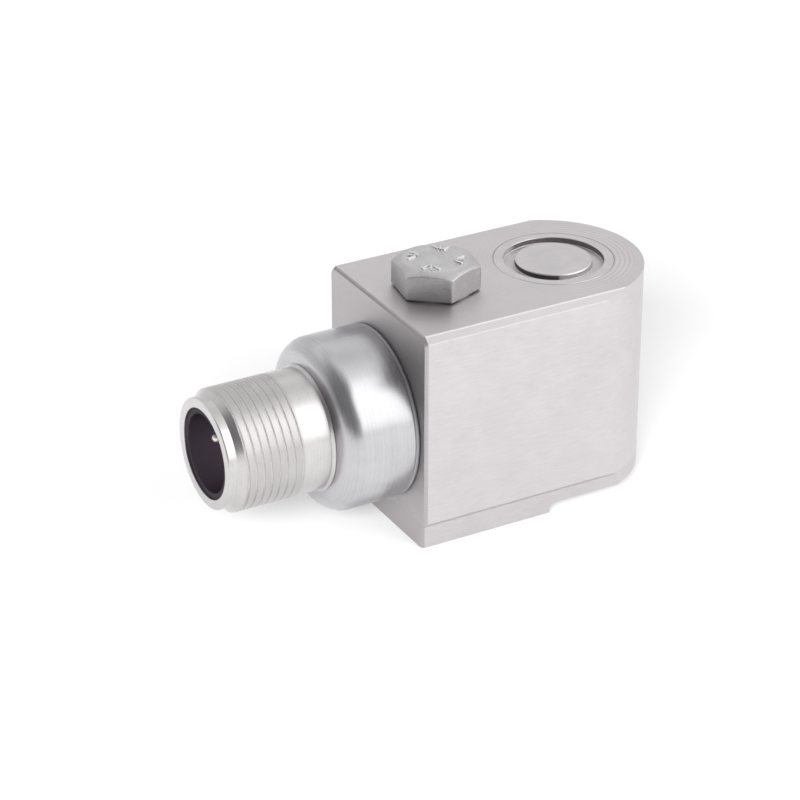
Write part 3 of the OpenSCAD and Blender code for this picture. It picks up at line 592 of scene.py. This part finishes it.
# Insert and contacts: a black moulded insert lines the socket and carries two plated contacts, each
# with a round tip in the socket and a solder cup behind the insert.
INSERT_DARK, INSERT_LIGHT = (0.0132, 0.0098, 0.0130), (0.0265, 0.0189, 0.0254)
PLATE_DARK, PLATE_LIGHT = (0.72, 0.71, 0.67), (0.84, 0.83, 0.80)
INSERT_LIT_DEPTH = (-32.6, -23.0)
moulded_black, tree, surface, place = new_finish("moulded_black_insert", 0.0, Specular_IOR_Level=0.12)
mottle = grain(tree, place, 3.0, detail=4.0, seed=3.0)
flow = grain(tree, place, (0.6, 0.3, 0.3), detail=2.0, seed=5.0)
# Painted light: the insert grows lighter deeper in the socket, against the socket's shade
deep_painted_light = ease(tree, split(tree, place)["X"], *INSERT_LIT_DEPTH)
colour = tint(tree, pile(tree, 0.0, (deep_painted_light, 0.9), (flow, 0.15)), INSERT_DARK, INSERT_LIGHT)
roughen(tree, surface, mottle, 0.006, pile(tree, 0.45, (mottle, 0.2)), colour)
wear("pin_insert", moulded_black)
plated, tree, surface, place = new_finish("plated_contact", 1.0)
feed = grain(tree, place, (10.0, 0.3, 0.3), seed=3.0)
cloud = grain(tree, place, 0.8, seed=6.0)
rough = pile(tree, 0.3, (feed, 0.1))
roughen(tree, surface, feed, 0.003, rough, tint(tree, cloud, PLATE_DARK, PLATE_LIGHT))
wear("contact_pin_a", plated)
wear("contact_pin_b", plated)

# Sensing element: on a ceramic disc stands a turned steel base, whose post carries a plastic sleeve,
# two fired piezo rings with a copper shim between them, a dense ring, a spring washer and a nut. A
# drawn can stands over them.


def dress(finish, *node_names, metallic=0.0, dark, light, rough, flecks, relief, seed):
    """Gives CAD nodes a finish with an even grain in its colour, gloss and relief (in millimetres)."""
    material, tree, surface, place = new_finish(finish, metallic)
    fleck = grain(tree, place, flecks, detail=4.0, seed=seed)
    cloud = grain(tree, place, 0.4, seed=seed + 1.0)
    mixed = pile(tree, 0.0, (cloud, 0.4), (fleck, 0.6))
    gloss = ease(tree, fleck, 0.2, 0.8, *rough)
    roughen(tree, surface, fleck, relief, gloss, tint(tree, mixed, dark, light))
    for node_name in node_names:
        wear(node_name, material)


dress("white_fired_ceramic", "base_insulator", dark=(0.74, 0.71, 0.63), light=(0.88, 0.86, 0.79),
      rough=(0.35, 0.55), flecks=5.0, relief=0.006, seed=1.0)
dress("piezo_fired_ceramic", "lower_crystal", "upper_crystal", dark=(0.36, 0.29, 0.19),
      light=(0.50, 0.42, 0.29), rough=(0.4, 0.6), flecks=6.0, relief=0.006, seed=2.0)
dress("turned_element_steel", "element_base", "spring_washer", "preload_nut", metallic=1.0,
      dark=(0.50, 0.50, 0.51), light=(0.62, 0.61, 0.61), rough=(0.2, 0.36), flecks=4.0, relief=0.004,
      seed=3.0)
dress("sleeve_plastic", "post_sleeve", dark=(0.72, 0.71, 0.67), light=(0.84, 0.83, 0.79),
      rough=(0.4, 0.55), flecks=3.0, relief=0.005, seed=4.0)
dress("rolled_shim_copper", "electrode", metallic=1.0, dark=(0.66, 0.36, 0.20), light=(0.78, 0.46, 0.27),
      rough=(0.2, 0.35), flecks=4.0, relief=0.003, seed=5.0)
dress("ground_dense_metal", "seismic_mass", metallic=1.0, dark=(0.24, 0.24, 0.25), light=(0.34, 0.34, 0.35),
      rough=(0.3, 0.45), flecks=5.0, relief=0.005, seed=6.0)
dress("drawn_can_metal", "shield_can", metallic=1.0, dark=(0.62, 0.60, 0.52), light=(0.74, 0.72, 0.64),
      rough=(0.22, 0.36), flecks=3.0, relief=0.004, seed=7.0)

# Amplifier: a round green board on the can's roof carries a moulded chip, a capacitor and a resistor,
# with a tinned wire from the shim and two insulated wires that run past the bolt hole to the contacts.
dress("board_laminate_green", "circuit_board", dark=(0.015, 0.10, 0.04), light=(0.03, 0.17, 0.07),
      rough=(0.35, 0.5), flecks=3.0, relief=0.01, seed=8.0)
dress("moulded_chip_black", "amplifier_chip", "resistor", dark=(0.012, 0.012, 0.013),
      light=(0.03, 0.03, 0.03), rough=(0.45, 0.6), flecks=6.0, relief=0.01, seed=9.0)
dress("capacitor_body", "capacitor", dark=(0.42, 0.24, 0.06), light=(0.55, 0.34, 0.10),
      rough=(0.4, 0.55), flecks=5.0, relief=0.01, seed=10.0)
dress("tinned_wire", "element_lead", metallic=1.0, dark=(0.62, 0.62, 0.62), light=(0.74, 0.74, 0.73),
      rough=(0.25, 0.4), flecks=5.0, relief=0.004, seed=11.0)
dress("red_wire_sheath", "signal_lead", dark=(0.34, 0.03, 0.025), light=(0.48, 0.05, 0.04),
      rough=(0.35, 0.5), flecks=3.0, relief=0.006, seed=12.0)
dress("white_wire_sheath", "common_lead", dark=(0.72, 0.70, 0.66), light=(0.84, 0.82, 0.78),
      rough=(0.35, 0.5), flecks=3.0, relief=0.006, seed=13.0)

# Studio: a pale floor without a horizon, a large soft box to the right of the camera and a small one
# above it, two panels in front that light the floor, and a light surround with a darker side behind
# the camera, as in a light tent.
FLOOR_SIZE, FLOOR_Z, FLOOR_GLOW = 6.0, -0.00002, 0.30
FLOOR_DARK, FLOOR_LIGHT = (0.33, 0.33, 0.33), (0.35, 0.35, 0.35)
SKY_LOW, SKY_HIGH, SKY_BANDS = 0.78, 1.0, ((0.12, 0.85), (0.42, 0.72), (0.68, 1.05), (0.84, 0.74))
DARK_SIDE, DARK_ZONE, DARK_LEVEL = (-0.70, -0.52, 0.48), (0.3, 0.85), 0.25
LAMP_SPOT, CAMERA_SPOT = (0, 0, 0.015), (-0.005144, 0.0, 0.015)
CAMERA_AZIMUTH, CAMERA_ELEVATION, CAMERA_DISTANCE = -29.037, 27.818, 0.36108
FOCAL_LENGTH, SENSOR_WIDTH, CLIP_NEAR, CLIP_FAR = 127.54, 36.0, 0.01, 20.0
bpy.ops.mesh.primitive_plane_add(size=FLOOR_SIZE, location=(0, 0, FLOOR_Z))
floor = bpy.context.object
floor.name = "studio_floor"
pale, tree, surface, place = new_finish("pale_floor", 0.0, Roughness=0.9, Specular_IOR_Level=0.1)
speck = grain(tree, place, 0.02, detail=2.0)
tree.links.new(tint(tree, speck, FLOOR_DARK, FLOOR_LIGHT), surface.inputs["Base Color"])
surface.inputs["Emission Color"].default_value = (1, 1, 1, 1)
surface.inputs["Emission Strength"].default_value = FLOOR_GLOW
floor.data.materials.append(pale)

world = bpy.data.worlds.new("light_tent")
bpy.context.scene.world = world
world.use_nodes = True
tree = world.node_tree
sky = put(tree, "ShaderNodeTexCoord").outputs["Generated"]
rise = put(tree, "ShaderNodeValToRGB", {"Fac": split(tree, sky)["Z"]})
stops = rise.color_ramp.elements
stops[0].color, stops[1].color = ((level, level, level, 1) for level in (SKY_LOW, SKY_HIGH))
for sine, level in SKY_BANDS:
    stops.new(sine).color = (level, level, level, 1)
strength = ease(tree, toward(tree, sky, Vector(DARK_SIDE).normalized()), *DARK_ZONE, 1.0, DARK_LEVEL)
tree.links.new(rise.outputs[0], tree.nodes["Background"].inputs["Color"])
tree.links.new(strength, tree.nodes["Background"].inputs["Strength"])


def look_at(thing, spot, azimuth, elevation, distance):
    """Sets a lamp or the camera at two angles and a distance from a spot, looking at it."""
    a, e = math.radians(azimuth), math.radians(elevation)
    back = Vector((math.sin(a) * math.cos(e), -math.cos(a) * math.cos(e), math.sin(e)))
    thing.location = Vector(spot) + back * distance
    thing.rotation_mode = "QUATERNION"
    thing.rotation_quaternion = (-back).to_track_quat("-Z", "Y")
    bpy.context.scene.collection.objects.link(thing)


# The two panels light the floor alone: they are not mirrored in the steel
for name, azimuth, elevation, distance, width, height, radiance, mirrored in (
    ("soft_box_right", 42, 35, 0.45, 0.60, 0.46, 1.24, True),
    ("soft_box_upper", 66, 66, 0.45, 0.26, 0.16, 0.25, True),
    ("floor_panel_left", -42, 27, 2.0, 1.15, 0.72, 50.0, False),
    ("floor_panel_right", 18, 27, 2.0, 1.15, 0.72, 12.0, False),
):
    data = bpy.data.lights.new(name, "AREA")
    data.shape, data.size, data.size_y = "RECTANGLE", width, height
    data.energy = radiance * math.pi * width * height
    lamp = bpy.data.objects.new(name, data)
    lamp.visible_glossy = mirrored
    look_at(lamp, LAMP_SPOT, azimuth, elevation, distance)

lens = bpy.data.cameras.new("camera")
lens.lens, lens.sensor_width = FOCAL_LENGTH, SENSOR_WIDTH
lens.clip_start, lens.clip_end = CLIP_NEAR, CLIP_FAR
camera = bpy.data.objects.new("camera", lens)
look_at(camera, CAMERA_SPOT, CAMERA_AZIMUTH, CAMERA_ELEVATION, CAMERA_DISTANCE)
bpy.context.scene.camera = camera
bpy.context.scene.view_settings.view_transform = "Standard"
